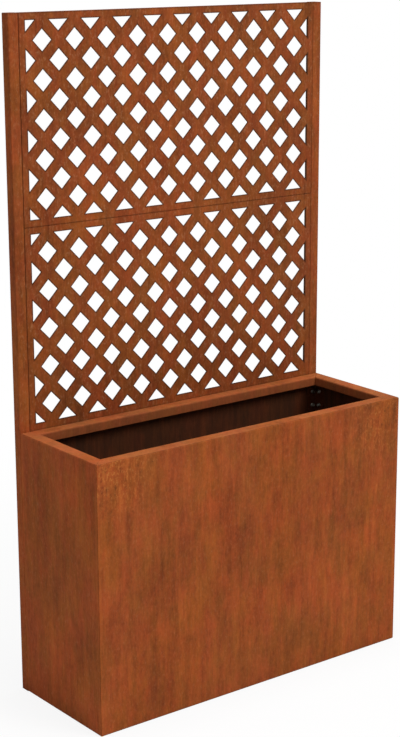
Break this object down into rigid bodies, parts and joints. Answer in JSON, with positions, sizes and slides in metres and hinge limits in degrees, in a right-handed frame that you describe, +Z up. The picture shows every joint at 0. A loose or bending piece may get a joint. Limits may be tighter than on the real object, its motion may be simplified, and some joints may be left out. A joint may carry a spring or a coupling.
{
  "type": "planter with trellis",
  "caption": "Tall rectangular planter box in folded weathering steel, with a free-standing lattice screen on two posts behind it for climbing plants.",
  "frame": {"origin": "on the ground, under the middle of the whole object's outer box", "axes": "+X to the right seen from the front, +Y from the front of the planter to the trellis at the back, +Z up"},
  "size_m": [1.02, 0.38, 1.796],
  "materials": {
    "patina_wall": "weathering steel with a mottled orange-brown rust patina, matt",
    "patina_trellis": "weathering steel with a fine red-brown rust patina, matt",
    "patina_inside": "weathering steel, darker and less weathered, matt",
    "zinc_fixing": "bright zinc-plated steel",
    "black_plug": "black polyethylene, matt"
  },
  "bodies": {
    "root": {"front_wall": "patina_wall", "back_wall": "patina_wall", "left_wall": "patina_wall", "right_wall": "patina_wall", "left_post": "patina_trellis", "right_post": "patina_trellis", "left_post_cap": "patina_trellis", "right_post_cap": "patina_trellis", "lower_lattice_sheet": "patina_trellis", "lower_lattice_left_strip": "patina_trellis", "lower_lattice_right_strip": "patina_trellis", "lower_lattice_top_strip": "patina_trellis", "lower_lattice_bottom_strip": "patina_trellis", "upper_lattice_sheet": "patina_trellis", "upper_lattice_left_strip": "patina_trellis", "upper_lattice_right_strip": "patina_trellis", "upper_lattice_top_strip": "patina_trellis", "upper_lattice_bottom_strip": "patina_trellis", "corner_angle_front_left": "patina_inside", "corner_angle_front_right": "patina_inside", "corner_angle_back_left": "patina_inside", "corner_angle_back_right": "patina_inside", "wall_tie": "patina_inside", "floor_plate": "patina_inside", "corner_nuts": "zinc_fixing", "tie_nuts": "zinc_fixing", "post_bolts": "zinc_fixing", "post_threaded_inserts": "zinc_fixing", "panel_bolts": "zinc_fixing", "panel_joint_bolts": "zinc_fixing", "panel_joint_nuts": "zinc_fixing", "left_post_plug": "black_plug", "right_post_plug": "black_plug"}
  },
  "joints": []
}
